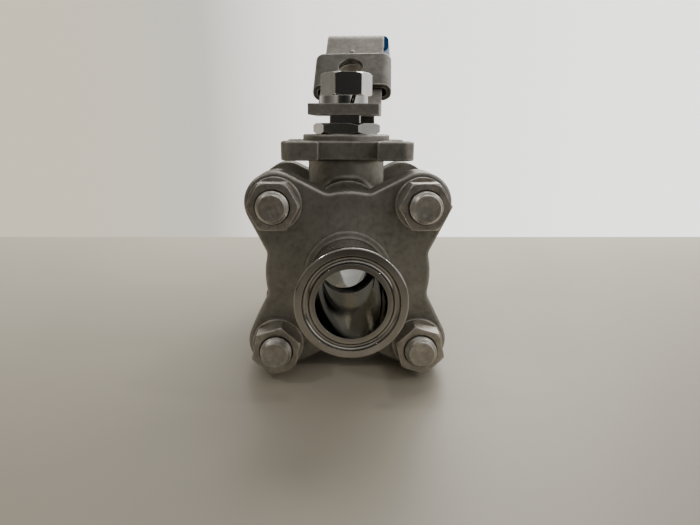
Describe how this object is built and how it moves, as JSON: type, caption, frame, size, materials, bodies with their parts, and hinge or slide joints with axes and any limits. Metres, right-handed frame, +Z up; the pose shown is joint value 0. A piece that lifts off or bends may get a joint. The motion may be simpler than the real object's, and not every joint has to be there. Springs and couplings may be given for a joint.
{
  "type": "ball valve",
  "caption": "Three-piece stainless ball valve with mini clamp ends, bolted lugged caps, an actuator pad and a lockable lever with a blue grip.",
  "frame": {"origin": "centre of the ball, where the flow axis meets the stem axis", "axes": "+Y along the flow from inlet to outlet, +Z up the stem, +X to the right seen from the inlet"},
  "size_m": [0.0528, 0.1805, 0.0952],
  "materials": {
    "cast_steel": "blasted satin stainless casting",
    "bolt_steel": "turned stainless, semi-bright",
    "polished_steel": "mirror-polished stainless",
    "sheet_steel": "tumbled stainless sheet",
    "ptfe": "waxy white",
    "elastomer": "smooth black",
    "blue_vinyl": "dipped vinyl, soft gloss"
  },
  "bodies": {
    "valve": {"body": "cast_steel", "inlet_cap": "cast_steel", "outlet_cap": "cast_steel", "body_bolts": "bolt_steel", "body_nuts": "bolt_steel", "body_spring_washers": "bolt_steel", "inlet_seat": "ptfe", "outlet_seat": "ptfe", "inlet_body_seal": "ptfe", "outlet_body_seal": "ptfe", "stem_thrust_washer": "ptfe", "packing_ring_lower": "ptfe", "packing_ring_middle": "ptfe", "packing_ring_upper": "ptfe", "gland_ring": "bolt_steel"},
    "handle": {"stem": "polished_steel", "stem_o_ring": "elastomer", "spring_disc_lower": "bolt_steel", "spring_disc_upper": "bolt_steel", "gland_nut": "polished_steel", "lever": "sheet_steel", "lever_spring_washer": "polished_steel", "lever_nut": "polished_steel", "grip_sleeve": "blue_vinyl"},
    "ball": {"ball": "polished_steel"},
    "lock": {"lock_slide": "sheet_steel"}
  },
  "joints": [
    {"name": "lever_turn", "type": "hinge", "parent": "valve", "child": "handle", "pos_m": [0, 0, 0], "axis": [0, 0, 1], "range_deg": [-83.5, 6.5]},
    {"name": "ball_turn", "type": "hinge", "parent": "valve", "child": "ball", "pos_m": [0, 0, 0], "axis": [0, 0, 1], "range_deg": [-83.5, 6.5]},
    {"name": "lock_slide", "type": "slide", "parent": "handle", "child": "lock", "axis": [-0.08, -0.7026, -0.7071], "range_m": [0, 0.0025]}
  ],
  "couplings": [
    {"joint": "ball_turn", "follows": "lever_turn", "ratio": 1}
  ]
}
